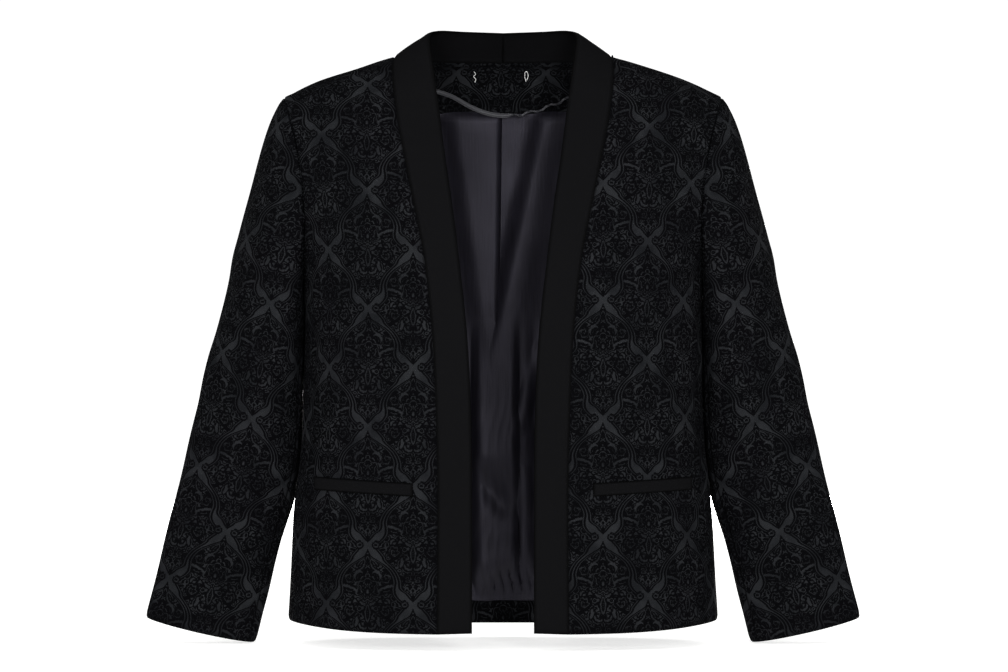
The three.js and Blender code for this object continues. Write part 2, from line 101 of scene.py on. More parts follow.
def through(rows):
    """A smooth curve through rows of a key and its values."""
    keys, values = np.split(np.array(rows, float), [1], axis=1)
    keys = keys[:, 0]
    before = np.maximum(np.arange(len(keys)) - 1, 0)
    after = np.minimum(np.arange(len(keys)) + 1, len(keys) - 1)
    slopes = (values[after] - values[before]) / (keys[after] - keys[before])[:, None]

    def at(key):
        i = np.clip(np.searchsorted(keys, key) - 1, 0, len(keys) - 2)
        step = (keys[i + 1] - keys[i])[..., None]
        t = (np.asarray(key) - keys[i])[..., None] / step
        value = (
            (2 * t**3 - 3 * t**2 + 1) * values[i]
            + (t**3 - 2 * t**2 + t) * step * slopes[i]
            + (3 * t**2 - 2 * t**3) * values[i + 1]
            + (t**3 - t**2) * step * slopes[i + 1]
        )
        return np.moveaxis(value, -1, 0)

    return at


worn_form = through(WORN_FORM)
armhole = through(ARMHOLE)


def form_y(x, z, side):
    """How far the worn form stands from the side seam: side is -1 in front and 1 behind."""
    half_width, front, back = worn_form(z)
    share = np.minimum(1, np.abs(x) / half_width)
    reach = (front if side < 0 else back) * (1 - share**ROUNDNESS) ** (1 / ROUNDNESS)
    return side * reach


SHOULDER_LINE_Z = np.linspace(0, SHOULDER_TIP_Z, SHOULDER_STEPS)
SHOULDER_LINE_X = worn_form(SHOULDER_LINE_Z)[0]


def row_height(level, side):
    """The height across one row: level -1 is the hem, 0 the underarm, 1 the shoulder seam."""
    dip = FRONT_HEM_DIP if side < 0 else BACK_HEM_DIP

    def height(x):
        if level > 0:
            shoulder = np.interp(x, SHOULDER_LINE_X, SHOULDER_LINE_Z, left=0)
            return UNDERARM_Z + level * (shoulder - UNDERARM_Z)
        share = np.minimum(1, x / worn_form(SIDE_HEM_Z)[0])
        return UNDERARM_Z + level * (UNDERARM_Z - SIDE_HEM_Z + dip * (1 - share**HEM_FLATNESS))

    return height


def panel_edge(level, side):
    """The outer edge of a row, as x at each height."""
    if level > 0:
        return lambda z: armhole(z)[0 if side < 0 else 1]
    return lambda z: worn_form(z)[0]


def meets(height, edge):
    """The x at which a row meets an edge, found by going to and fro between them."""
    x = NECK_HALF_WIDTH
    for _ in range(MEETING_STEPS):
        x = edge(height(x))
    return x


def body_rows(levels, shares, side, inner_edge=None, margin=0):
    """A cloth on the worn form: rows of points, each with its place on the flat cloth, which is
    how far it lies from the centre round the body and how far up. Shares place a row's points
    from its inner edge to its outer one."""
    rows = []
    for level in levels:
        height = row_height(level, side)
        outer = meets(height, panel_edge(level, side))
        inner = meets(height, inner_edge) if inner_edge else 0
        x = outer * np.sin(np.linspace(0, np.pi / 2, ROW_STEPS))
        y = form_y(x, height(x), side)
        reach = np.concatenate([[0], np.cumsum(np.hypot(np.diff(x), np.diff(y)))])
        start = np.interp(inner, x, reach)
        across = start + shares * (reach[-1] - margin - start)
        x = np.interp(across, reach, x)
        z = height(x)
        rows.append(np.stack([x, form_y(x, z, side), z, across, z], axis=-1))
    cloth = np.array(rows)
    step = np.linalg.norm(np.diff(cloth[..., :3], axis=0), axis=2)
    slant = np.diff(cloth[..., 3], axis=0)
    rise = np.sqrt(np.maximum(step**2 - slant**2, np.diff(cloth[..., 2], axis=0) ** 2))
    up = np.concatenate([np.zeros((1, len(shares))), np.cumsum(rise, axis=0)])
    level_row = np.argmin(np.abs(np.asarray(levels)))
    cloth[..., 4] += up - up[level_row] - cloth[..., 2] + cloth[level_row, :, 2]
    return cloth


def both_halves(cloth):
    """A half panel made whole across the centre line."""
    return np.concatenate([cloth[:, :0:-1] * (-1, 1, 1, -1, 1), cloth], axis=1)


def with_rolled_edges(cloth):
    """A cloth with a row and column more along each edge, just inside it, and with the edge
    itself a little past its seam, so that no light comes through there."""

    def beside(end, following, distance):
        gap = np.linalg.norm((following - end)[:, :3], axis=-1, keepdims=True)
        return (end + (following - end) * np.minimum(0.5, distance / np.maximum(gap, 0.01)))[None]

    for axis in (0, 1):
        cloth = np.moveaxis(cloth, axis, 0)
        first = [beside(cloth[0], cloth[1], d) for d in (-SEAM_LAP, EDGE_ROLL)]
        last = [beside(cloth[-1], cloth[-2], d) for d in (EDGE_ROLL, -SEAM_LAP)]
        cloth = np.concatenate([*first, cloth[1:-1], *last])
        cloth = np.moveaxis(cloth, 0, axis)
    return cloth


def outward(cloth, inside=BODY_MIDDLE):
    """The directions in which a cloth's outer side faces, away from a point within."""
    points = cloth[..., :3]
    normal = np.cross(np.gradient(points, axis=0), np.gradient(points, axis=1))
    normal /= np.maximum(np.linalg.norm(normal, axis=2, keepdims=True), 1e-9)
    return normal * np.sign((normal * (points - inside)).sum())


def raised(cloth, height, inside=BODY_MIDDLE):
    """The cloth moved outward by a height at each point."""
    cloth = cloth.copy()
    cloth[..., :3] += outward(cloth, inside) * height[..., None]
    return cloth


# A whole turn in radians, rounded, as creases and waves are drawn with it.
FULL_TURN = 6.28
CREASE_PROFILE = 2.5
WANDER = 0.25
WANDER_LENGTH = 38
SWELL = 0.3
SWELL_LENGTH = 55


def folds(u, v, table, seed=1):
    """The height of soft creases: each row is a line's two ends on the cloth, its height, or
    depth where negative, and half its width. They wander a little and swell along the way."""
    draw = np.random.default_rng(seed)
    height = np.zeros_like(u)
    for from_u, from_v, to_u, to_v, rise, half in table:
        du, dv = to_u - from_u, to_v - from_v
        length = np.hypot(du, dv)
        part = np.clip(((u - from_u) * du + (v - from_v) * dv) / length**2, 0, 1)
        phase, swell = draw.uniform(0, FULL_TURN, 2)
        wander = WANDER * half * np.sin(part * length / WANDER_LENGTH + phase)
        off = ((u - from_u) * dv - (v - from_v) * du) / length - wander
        past_u = u - from_u - part * du
        past_v = v - from_v - part * dv
        past = np.abs(past_u * du + past_v * dv) / length
        strength = 1 + SWELL * np.sin(part * length / SWELL_LENGTH + swell)
        height += rise * strength * np.exp(-((np.hypot(off, past) / half) ** CREASE_PROFILE))
    return height


WAVES = 7
WAVES_TOGETHER = 2.6


def unevenness(u, v, size, rise, seed):
    """Slow soft waves of about one size, as no cloth hangs quite smooth."""
    draw = np.random.default_rng(seed)
    height = np.zeros_like(u)
    for _ in range(WAVES):
        turn, phase = draw.uniform(0, FULL_TURN, 2)
        wave = size * draw.uniform(0.7, 1.6)
        height += np.sin((u * np.cos(turn) + v * np.sin(turn)) * FULL_TURN / wave + phase)
    return height * rise / WAVES_TOGETHER


def smooth_step(value, low, high):
    """0 up to one value and 1 from another, with a soft rise between them."""
    t = np.clip((value - low) / (high - low), 0, 1)
    return t * t * (3 - 2 * t)


def inner_part(shape, reach=0.1):
    """1 inside a cloth's grid, falling to 0 along its side edges, where it is sewn."""
    share = np.linspace(0, 1, shape[1])
    return smooth_step(np.minimum(share, 1 - share), 0, reach)[None, :] * np.ones((shape[0], 1))


def cloth_object(name, cloth, material, thick, out=0, inside=BODY_MIDDLE):
    """A closed cloth whose outer side lies `out` from its points, with its place on the flat
    cloth, in millimetres, as its UV map. At its edges it rolls over, so the skins meet there."""
    normal = outward(cloth, inside)
    half = np.full(cloth.shape[:2] + (1,), thick / 2)
    half[[0, -1]] *= EDGE_THINNESS
    half[:, [0, -1]] *= EDGE_THINNESS
    # How far each point lies in a seam: 1 on the edge rows and 0.5 on the rows beside them. These
    # values sink the edges into the seam and are also used as a painted seam shadow.
    seam_sink_and_shadow = np.zeros_like(half)
    for place, depth in ((1, 0.5), (0, 1)):
        seam_sink_and_shadow[[place, -1 - place]] = depth
        seam_sink_and_shadow[:, [place, -1 - place]] = depth
    lowered = out - np.maximum(half, thick * LEAST_HALF) - SEAM_SINK * seam_sink_and_shadow
    middle = cloth[..., :3] + normal * lowered
    vertices = np.concatenate([middle + normal * half, middle - normal * half])
    rows, columns = cloth.shape[:2]

    def quads(r, c, row_step, column_step, skins):
        """Four corners each: a row and column, and the skin each corner lies on."""
        r, c = (w.ravel() for w in np.meshgrid(r, c, indexing="ij"))
        path = ((0, 0), (0, 1), (1, 1), (1, 0))
        return np.stack(
            [
                (r + a * row_step + skin * rows) * columns + c + b * column_step
                for (a, b), skin in zip(path, skins)
            ],
            axis=1,
        )

    last_row, last_column = rows - 1, columns - 1
    every_row, every_column = np.arange(last_row), np.arange(last_column)
    index = np.concatenate(
        [
            quads(every_row, every_column, 1, 1, (0, 0, 0, 0)),
            quads(every_row, every_column, 1, 1, (1, 1, 1, 1))[:, ::-1],
            quads([0], every_column, 0, 1, (1, 1, 0, 0)),
            quads([last_row], every_column, 0, 1, (0, 0, 1, 1)),
            quads(every_row, [0], 1, 0, (0, 1, 1, 0)),
            quads(every_row, [last_column], 1, 0, (1, 0, 0, 1)),
        ]
    )
    vertices = vertices.reshape(-1, 3)
    a, b, d = (vertices[index[:, i]] for i in (0, 1, 2))
    if np.einsum("ij,ij->i", a, np.cross(b, d)).sum() < 0:
        index = index[:, ::-1]
    mesh = bpy.data.meshes.new(name)
    mesh.from_pydata((vertices * MM).tolist(), [], index.tolist())
    uv = cloth[..., 3:].reshape(-1, 2)[index % (rows * columns)]
    mesh.uv_layers.new(name="cloth").data.foreach_set("uv", uv.astype(np.float32).ravel())
    # Painted shade: the seam values are kept on the mesh, and the materials use them to darken the
    # colour along seams and edges, as a seam's shadow would.
    painted_seam_shadow = mesh.attributes.new("painted_seam_shadow", "FLOAT", "POINT")
    painted_seam_shadow.data.foreach_set("value", np.tile(seam_sink_and_shadow.ravel(), 2).astype(np.float32))
    mesh.polygons.foreach_set("use_smooth", [True] * len(index))
    mesh.materials.append(material)
    piece = bpy.data.objects.new(name, mesh)
    bpy.context.collection.objects.link(piece)
    return piece


def colour(hex_code):
    """An sRGB hex colour as linear RGBA."""
    values = [int(hex_code[i : i + 2], 16) / 255 for i in (1, 3, 5)]
    linear = [v / 12.92 if v < 0.04045 else ((v + 0.055) / 1.055) ** 2.4 for v in values]
    return (*linear, 1.0)


def add(material, kind, inputs=(), **settings):
    """Add a shader node with its settings; each input is a value, or a node or socket."""
    made = material.node_tree.nodes.new("ShaderNode" + kind)
    for name, value in settings.items():
        setattr(made, name, value)
    places = inputs.items() if isinstance(inputs, dict) else enumerate(inputs)
    for place, value in places:
        if isinstance(value, bpy.types.Node):
            value = value.outputs[0]
        if isinstance(value, bpy.types.NodeSocket):
            material.node_tree.links.new(value, made.inputs[place])
        else:
            made.inputs[place].default_value = value
    return made


def new_material(name):
    material = bpy.data.materials.new(name)
    material.use_nodes = True
    material.node_tree.nodes.clear()
    return material


def body_levels(lower, upper):
    """Levels from hem to shoulder seam, closer together towards the underarm and shoulder."""
    below = np.linspace(-1, 0, lower + 1)
    above = (1 - np.cos(np.linspace(0, np.pi, upper + 1))) / 2
    return np.concatenate([below[:-1], above])


LOWER_ROWS = 72
UPPER_ROWS = 65
LEVELS = body_levels(LOWER_ROWS, UPPER_ROWS)

# Flocked damask: black nylon pile, about half a millimetre high, glued in the figure's shape on
# slate polyester satin. The pile swallows light and the satin returns a soft shine, so the
# lattice shows grey between black leaves and rosettes.
# Half the pattern's repeat, across and up the cloth, and its colours.
# The pile's black also serves as the painted shadow along the damask's seams.
HALF_REPEAT = (46, 58)
PILE_AND_SEAM_SHADOW_BLACK = "#040405"
SATIN_SLATE = "#1a1b1d"
SATIN_DIM = "#101113"

# The fine lines round the ornaments and in the lattice, how ragged the pile's edges are, how
# often a scroll winds, the small coils between the ornaments, and the size of the worn patches.
FINE_LINE = 0.5
LATTICE_LINE = 2.6
LATTICE_LINE_HALF = 0.45
RAGGED = 3
RAGGED_PER_MM = 0.22
SCROLL_TURNS = 1.6
COILS_PER_MM = 0.13
COIL_STEP = 0.1
COIL_SLOPE = 20
COIL_DEPTH = -0.8
COIL_RIM = 1.6
SOFT_EDGE = 0.35
WEAR_PER_MM = 0.035

# The ogee's edge from its side crossing to its top one, as shares of the half repeat.
OGEE_EDGE = [
    (0, 1), (0.1, 0.82), (0.19, 0.73), (0.27, 0.66), (0.4, 0.655),
    (0.54, 0.58), (0.65, 0.45), (0.74, 0.3), (0.88, 0.12), (1, 0),
]
# Half the width of the satin strip between two ogees, along the same way.
STRIP_WIDTH = 6
STRIP = [
    (0, 3.8), (0.08, 4.9), (0.16, 4.8), (0.24, 2.4), (0.34, 0.8), (0.5, 0.5),
    (0.64, 0.8), (0.76, 2.6), (0.85, 5.0), (0.93, 4.9), (1, 3.8),
]
# The ogee's ornaments, mirrored about its middle: kind, how it is laid, where it stands from
# the ogee's middle, half its width and height, its turn in degrees, and two values for its form.
# They are a scroll's gap, how far a crescent is bitten, or half the petals' number and how far
# they part.
ORNAMENTS = [
    ("leaf", "pile", 0, 46.5, 3.0, 8.0, 0, 0, 0),
    ("leaf", "outlined", 6.5, 39, 2.8, 6.5, -32, 0, 0),
    ("leaf", "pile", 13.5, 34.5, 3.0, 7.0, -62, 0, 0),
    ("scroll", "outlined", 19.5, 26.5, 5.4, 5.4, 30, 0.4, 0),
    ("crescent", "satin", 9.5, 29.0, 5.4, 4.6, 40, 0.7, 0),
    ("petals", "outlined", 0, 14.5, 12.0, 11.5, 0, 3.5, 0.2),
    ("petals", "pile", 0, 13.5, 6.6, 6.2, 0, 2.5, 0.22),
    ("disc", "satin", 0, 13.0, 1.4, 2.2, 0, 0, 0),
    ("crescent", "satin", 18.5, 15.5, 8.5, 3.0, -20, 0.75, 0),
    ("leaf", "pile", 22.5, 8.0, 2.6, 7.5, -70, 0, 0),
    ("scroll", "outlined", 19.0, -6.5, 6.4, 6.0, 200, 0.38, 0),
    ("leaf", "satin", 11.0, -16.0, 1.8, 5.4, -12, 0, 0),
    ("leaf", "pile", 6.0, -7.5, 2.8, 8.0, -28, 0, 0),
    ("leaf", "outlined", 0, -8.5, 2.4, 8.0, 0, 0, 0),
    ("crescent", "satin", 5.2, -21.0, 4.4, 3.4, 150, 0.7, 0),
    ("petals", "pile", 0, -32.0, 8.4, 7.6, 180, 2.5, 0.2),
    ("scroll", "pile", 5.2, -32.5, 4.0, 4.0, 90, 0.38, 0),
    ("leaf", "pile", 0, -47.0, 2.6, 8.0, 0, 0, 0),
    ("disc", "pile", 37.6, 0.5, 4.6, 4.6, 0, 0, 0),
    ("ring", "satin", 37.6, 0.5, 2.1, 2.1, 0, 0, 0),
]


def ornament(cloth, place, kind, x, y, wide, tall, turn, first, second):
    """How deep a point lies inside one ornament, in millimetres, negative outside it."""
    laid = {
        "Vector": place,
        "Location": (x, y, 0),
        "Rotation": (0, 0, -np.radians(turn)),
        "Scale": (wide, tall, 1),
    }
    local = add(cloth, "Mapping", laid, vector_type="TEXTURE")
    size = min(wide, tall)
    u_v = add(cloth, "SeparateXYZ", [local])
    u, v = u_v.outputs[0], u_v.outputs[1]
    if kind == "leaf":
        side = add(cloth, "Math", [u], operation="ABSOLUTE")
        share = add(cloth, "Math", [v, v, side], operation="MULTIPLY_ADD")
        return add(cloth, "Math", [share, -size, size], operation="MULTIPLY_ADD")
    round_it = add(cloth, "VectorMath", [local], operation="LENGTH").outputs["Value"]
    disc = add(cloth, "Math", [round_it, -size, size], operation="MULTIPLY_ADD")
    if kind == "disc":
        return disc
    if kind == "ring":
        rim = add(cloth, "Math", [disc], operation="ABSOLUTE")
        return add(cloth, "Math", [FINE_LINE, rim], operation="SUBTRACT")
    if kind == "crescent":
        bite = add(cloth, "VectorMath", [local, (0, first, 0)], operation="ADD")
        bite = add(cloth, "VectorMath", [bite], operation="LENGTH").outputs["Value"]
        bite = add(cloth, "Math", [bite, size, -size], operation="MULTIPLY_ADD")
        return add(cloth, "Math", [disc, bite], operation="MINIMUM")
    angle = add(cloth, "Math", [u, v], operation="ARCTAN2")
    if kind == "petals":
        lobe = add(cloth, "Math", [angle, first], operation="MULTIPLY")
        lobe = add(cloth, "Math", [lobe], operation="COSINE")
        lobe = add(cloth, "Math", [lobe], operation="ABSOLUTE")
        lobe = add(cloth, "Math", [lobe, -second, 1 + second], operation="MULTIPLY_ADD")
        lobe = add(cloth, "Math", [lobe, round_it], operation="MULTIPLY")
        return add(cloth, "Math", [lobe, -size, size], operation="MULTIPLY_ADD")
    winding = add(cloth, "Math", [angle, -0.5 / np.pi], operation="MULTIPLY")
    winding = add(cloth, "Math", [round_it, SCROLL_TURNS, winding], operation="MULTIPLY_ADD")
    winding = add(cloth, "Math", [winding], operation="FRACT")
    winding = add(cloth, "Math", [winding, 0.5], operation="SUBTRACT")
    winding = add(cloth, "Math", [winding], operation="ABSOLUTE")
    winding = add(cloth, "Math", [winding, first], operation="SUBTRACT")
    winding = add(cloth, "Math", [winding, size / SCROLL_TURNS], operation="MULTIPLY")
    return disc, add(cloth, "Math", [disc, winding], operation="MINIMUM")


def damask_figure(cloth):
    """The pile's place, from 0 on the satin to 1 in the figure, from the cloth's UV map. A
    positive figure is the depth inside the pile, in millimetres."""
    half_wide, half_tall = HALF_REPEAT
    on_cloth = add(cloth, "SeparateXYZ", [add(cloth, "UVMap", uv_map="cloth")])
    side = add(cloth, "Math", [on_cloth.outputs[0], half_wide], operation="PINGPONG")
    across = add(cloth, "Math", [side, half_wide], operation="DIVIDE")
    up = add(cloth, "Math", [on_cloth.outputs[1], half_tall, -half_tall], operation="WRAP")
    up = add(cloth, "Math", [up, half_tall], operation="DIVIDE")
    way = add(cloth, "Math", [up], operation="FRACT")
    below = add(cloth, "Math", [up, 0], operation="LESS_THAN")
    lines = []
    for points in (OGEE_EDGE, [(share, half / STRIP_WIDTH) for share, half in STRIP]):
        line = add(cloth, "FloatCurve", {"Value": way})
        drawn = line.mapping.curves[0].points
        drawn[0].location, drawn[1].location = points[0], points[-1]
        for point in points[1:-1]:
            drawn.new(*point)
        line.mapping.update()
        lines.append(line)
    edge, strip = lines
    edge = add(cloth, "Math", [below, edge], operation="SUBTRACT")
    edge = add(cloth, "Math", [edge], operation="ABSOLUTE")
    other = add(cloth, "Math", [across, edge], operation="GREATER_THAN")
    off = add(cloth, "Math", [edge, across], operation="SUBTRACT")
    off = add(cloth, "Math", [off], operation="ABSOLUTE")
    off = add(cloth, "Math", [off, half_wide], operation="MULTIPLY")
    figure = add(cloth, "Math", [strip, -STRIP_WIDTH, off], operation="MULTIPLY_ADD")
    inner_line = add(cloth, "Math", [figure, LATTICE_LINE], operation="SUBTRACT")
    inner_line = add(cloth, "Math", [inner_line], operation="ABSOLUTE")
    inner_line = add(cloth, "Math", [inner_line, LATTICE_LINE_HALF], operation="SUBTRACT")
    figure = add(cloth, "Math", [figure, inner_line], operation="MINIMUM")

    x = add(cloth, "Math", [other, across], operation="SUBTRACT")
    x = add(cloth, "Math", [x], operation="ABSOLUTE")
    x = add(cloth, "Math", [x, half_wide], operation="MULTIPLY")
    flip = add(cloth, "Math", [below, 2, -1], operation="MULTIPLY_ADD")
    y = add(cloth, "Math", [other, flip, up], operation="MULTIPLY_ADD")
    y = add(cloth, "Math", [y, half_tall], operation="MULTIPLY")
    place = add(cloth, "CombineXYZ", [x, y])
    in_place = {"Vector": place, "Scale": RAGGED_PER_MM}
    ragged = add(cloth, "TexNoise", in_place, noise_dimensions="2D")
    ragged = add(cloth, "VectorMath", [ragged.outputs[1], (0.5,) * 3], operation="SUBTRACT")
    ragged = add(cloth, "VectorMath", [ragged, (RAGGED,) * 3, place], operation="MULTIPLY_ADD")
    for kind, lay, *sizes in ORNAMENTS:
        shape = ornament(cloth, ragged, kind, *sizes)
        if kind == "scroll":
            shape, coil = shape
            figure = add(cloth, "Math", [figure, shape], operation="MAXIMUM")
            coil = add(cloth, "Math", [coil, -1], operation="MULTIPLY")
            figure = add(cloth, "Math", [figure, coil], operation="MINIMUM")
        elif lay == "satin":
            shape = add(cloth, "Math", [shape, -1], operation="MULTIPLY")
            figure = add(cloth, "Math", [figure, shape], operation="MINIMUM")
        else:
            figure = add(cloth, "Math", [figure, shape], operation="MAXIMUM")
            if lay == "outlined":
                line = add(cloth, "Math", [shape], operation="ABSOLUTE")
                line = add(cloth, "Math", [line, FINE_LINE], operation="SUBTRACT")
                figure = add(cloth, "Math", [figure, line], operation="MINIMUM")

    in_place = {"Vector": place, "Scale": COILS_PER_MM, "Detail": 1.0}
    coils = add(cloth, "TexNoise", in_place, noise_dimensions="2D")
    coils = add(cloth, "Math", [coils.outputs[0], COIL_STEP], operation="PINGPONG")
    coils = add(cloth, "Math", [coils, COIL_SLOPE, COIL_DEPTH], operation="MULTIPLY_ADD")
    rim = add(cloth, "Math", [COIL_RIM, figure], operation="SUBTRACT")
    coils = add(cloth, "Math", [coils, rim], operation="MAXIMUM")
    figure = add(cloth, "Math", [figure, coils], operation="MINIMUM")
    to_pile = {"Value": figure, "From Min": -SOFT_EDGE, "From Max": SOFT_EDGE}
    return add(cloth, "MapRange", to_pile)


# A Mix node of colours takes them at its inputs 6 and 7, and gives the mix at its output 2.
flocked_damask = new_material("flocked_damask")
figure = damask_figure(flocked_damask)
flat_cloth = add(flocked_damask, "UVMap", uv_map="cloth")
# Wear: the satin's shine is duller in broad patches.
wear = add(
    flocked_damask,
    "TexNoise",
    {"Vector": flat_cloth, "Scale": WEAR_PER_MM, "Detail": 3.0},
    noise_dimensions="2D",
)
wear = add(flocked_damask, "MapRange", {"Value": wear, "From Min": 0.35, "From Max": 0.62})
ground = add(
    flocked_damask,
    "Mix",
    {"Factor": wear, 6: colour(SATIN_DIM), 7: colour(SATIN_SLATE)},
    data_type="RGBA",
)
cloth_colour = add(
    flocked_damask,
    "Mix",
    {"Factor": figure, 6: ground.outputs[2], 7: colour(PILE_AND_SEAM_SHADOW_BLACK)},
    data_type="RGBA",
)
# Painted shade: along seams and edges the damask's colour darkens to the pile's black, standing in
# for the shadow in the seam's valley.
seam_shadow_mask = add(flocked_damask, "Attribute", attribute_name="painted_seam_shadow")
damask_colour_with_shadow = add(
    flocked_damask,
    "Mix",
    {"Factor": seam_shadow_mask.outputs["Fac"], 6: cloth_colour.outputs[2], 7: colour(PILE_AND_SEAM_SHADOW_BLACK)},
    data_type="RGBA",
)
pile_height = add(flocked_damask, "Bump", {"Height": figure, "Strength": 0.7, "Distance": 0.0004})
gloss = add(flocked_damask, "MapRange", {"Value": figure, "To Min": 0.5, "To Max": 0.95})
damask_surface = add(
    flocked_damask,
    "BsdfPrincipled",
    {
        "Base Color": damask_colour_with_shadow.outputs[2],
        "Roughness": gloss,
        "Specular IOR Level": 0.012,
        "Normal": pile_height,
    },
)
add(flocked_damask, "OutputMaterial", {"Surface": damask_surface})

BACK_COLUMNS = 96
BACK_EDGE = 0.06

# The size and height of the back's waves, and the seed that draws them.
BACK_WAVES = (120, 0.7, 3)
BACK_CREASES = [
    (-150, -180, -95, -420, 2.5, 22),
    (140, -190, 100, -400, 2.2, 24),
    (-185, -235, -60, -300, -2, 20),
    (190, -240, 60, -290, -2, 18),
    (-40, -120, 50, -110, 1.5, 26),
    (-20, -470, 60, -540, 1.5, 30),
]

half_back = body_rows(LEVELS, np.linspace(0, 1, BACK_COLUMNS), 1)
back_neck_seam = half_back[-1]
back_armhole = half_back[LOWER_ROWS:, -1]
back_cloth = with_rolled_edges(both_halves(half_back))
u, v = back_cloth[..., 3], back_cloth[..., 4]
lift = folds(u, v, BACK_CREASES) + unevenness(u, v, *BACK_WAVES)
back_cloth = raised(back_cloth, lift * inner_part(lift.shape, BACK_EDGE))
back = cloth_object("damask_back", back_cloth, flocked_damask, CLOTH)
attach(back, "root")
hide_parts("back")

# The two fronts: damask panels that stay open down the middle, sewn to the back at the sides
# and shoulders, to the sleeves, and to the neck band along their inner edges. Each is cut from
# its own place in the pattern, so the lattice doesn't match from one to the other.
FRONT_COLUMNS = 60

# Height, and there the x of the band's seam, the x of its free edge and how far that lies above.
BAND = [
    (-600, 64.6, 30.6, 1.4),
    (-440, 63.7, 30.6, 0),
    (-360, 65.2, 31.4, 0),
    (-283, 68.4, 35, 1),
    (-205, 76.5, 43.5, 4),
    (-160, 85, 49.5, 7),
    (-112, 94.8, 57, 10),
    (-63, 104.4, 64, 14),
    (-30, 108.8, 69.5, 18),
    (-8, 110, 73, 20),
    (0, 108, 73.5, 23),
]

# Where the middle of a figure lies on each front: x and height.
FRONT_FIGURE = {"left": (143, -127), "right": (132, -195)}

# The size and height of the fronts' waves, and the seeds that draw each front's creases and waves.
FRONT_WAVES = (110, 0.6)
FRONT_SEEDS = {"left": (6, 10), "right": (4, 8)}
FRONT_CREASES = [
    (120, -60, 150, -330, 1.6, 24),
    (190, -225, 120, -300, -1.4, 16),
    (205, -250, 170, -400, 1.5, 20),
    (150, -470, 170, -560, 1.2, 22),
]
band_lines = through(BAND)
front_shares = np.linspace(0, 1, FRONT_COLUMNS)
front_cloth = body_rows(LEVELS, front_shares, -1, lambda z: band_lines(z)[0])
front_band_seam = front_cloth[:, 0]
front_armhole = front_cloth[LOWER_ROWS:, -1]
u, v = front_cloth[..., 3], front_cloth[..., 4]
for side, name in ((1, "left"), (-1, "right")):
    crease_seed, wave_seed = FRONT_SEEDS[name]
    lift = folds(u, v, FRONT_CREASES, crease_seed) + unevenness(u, v, *FRONT_WAVES, wave_seed)
    panel = raised(front_cloth, lift * inner_part(lift.shape)) * (side, 1, 1, 1, 1)
    x, z = FRONT_FIGURE[name]
    row = np.argmin(np.abs(front_cloth[:, 0, 2] - z))
    panel[..., 3] -= np.interp(x, front_cloth[row, :, 0], front_cloth[row, :, 3])
    panel[..., 4] -= front_cloth[row, FRONT_COLUMNS // 3, 4]
    front = cloth_object(
        f"damask_front_{name}", with_rolled_edges(panel), flocked_damask, CLOTH
    )
    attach(front, "root")
    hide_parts(f"front_{name}")

# The sleeves: each is a long top piece and a narrow one under the arm, cut from the damask
# with the pattern running down the arm, joined by two seams and set into the armhole.
CUFF_DIP = 3
ARMHOLE_FADES_AT = 0.3
SLEEVE_RINGS = 110
RINGS_CLOSER_ABOVE = 1.25
SLEEVE_GRAIN = np.array([0.21, 0, -0.978])

# A ring's columns run up the front, UPPER_ROWS of them, and down the back. The seams lie here.
FRONT_SEAM_COLUMN = UPPER_ROWS * 2 // 13
BACK_SEAM_COLUMN = UPPER_ROWS * 21 // 13

# Share of the length, x and height of the outer line, the same of the inner line, and how far
# their plane, the front and the back stand from the side seam.
SLEEVE = [
    (0, 219.5, -41, 200.2, -235.5, 0, 50, 56),
    (0.02, 225, -48.5, 200.3, -242, 1, 53, 59),
    (0.06, 234, -67, 199.4, -253, 5, 57, 62),
    (0.12, 244, -97, 198.8, -268, 10, 60, 64),
    (0.2, 255, -138, 198.4, -289, 14, 60, 63),
    (0.35, 274, -215, 198.2, -330, 20, 55, 56),
    (0.5, 293, -293, 200.8, -376, 21, 47, 48),
    (0.65, 312, -373, 206.8, -429, 20, 38, 39),
    (0.8, 331, -452, 222, -484, 18, 29, 30),
    (1, 358.5, -560, 248.5, -585, 14, 20, 21),
]
SLEEVE_WAVES = (90, 0.7, 8)
SLEEVE_SEED = 4
SLEEVE_FREE_FROM = (0.05, 0.2)
SLEEVE_CREASES = [
    (40, -330, -20, -300, 1.5, 14),
    (45, -360, -10, -345, -1.4, 12),
    (30, -240, -30, -200, 1.6, 18),
    (-120, -330, -60, -380, 1.4, 18),
    (-150, -280, -90, -250, 1.5, 16),
    (-60, -430, -90, -520, 1.0, 20),
]
sleeve_lines = through(SLEEVE)


def sleeve_rings():
    """Rings from the armhole to the cuff, each from the underarm up the front and down the
    back to the underarm again."""
    loop = np.concatenate([front_armhole, back_armhole[-2::-1]])[:, :3]
    loop[[0, UPPER_ROWS, -1], 1] = 0
    angle = np.pi * np.arange(len(loop)) / UPPER_ROWS

    def ring(t):
        outer_x, outer_z, inner_x, inner_z, y, front, back = sleeve_lines(t)
        across = (1 - np.cos(angle)) / 2
        x = inner_x + across * (outer_x - inner_x)
        z = inner_z + across * (outer_z - inner_z) - CUFF_DIP * t * np.abs(np.sin(angle))
        reach = np.where(angle <= np.pi, front, back)
        return np.stack([x, y - np.sin(angle) * reach, z], axis=-1)

    away = loop - ring(0.0)
    along = (np.arange(SLEEVE_RINGS + 1) / SLEEVE_RINGS) ** RINGS_CLOSER_ABOVE
    return np.array([ring(t) + away * (1 - smooth_step(t, 0, ARMHOLE_FADES_AT)) for t in along])


def sleeve_cloth(rings):
    """The rings with their places on the cloth: from the middle of the sleeve's front across,
    and up its grain."""
    up = -(rings @ SLEEVE_GRAIN)
    step = np.linalg.norm(np.diff(rings, axis=1), axis=2)
    width = np.sqrt(np.maximum(step**2 - np.diff(up, axis=1) ** 2, 0))
    across = np.concatenate([np.zeros((len(rings), 1)), np.cumsum(width, axis=1)], axis=1)
    middle = UPPER_ROWS // 2
    return np.dstack([rings, across[:, middle : middle + 1] - across, up])


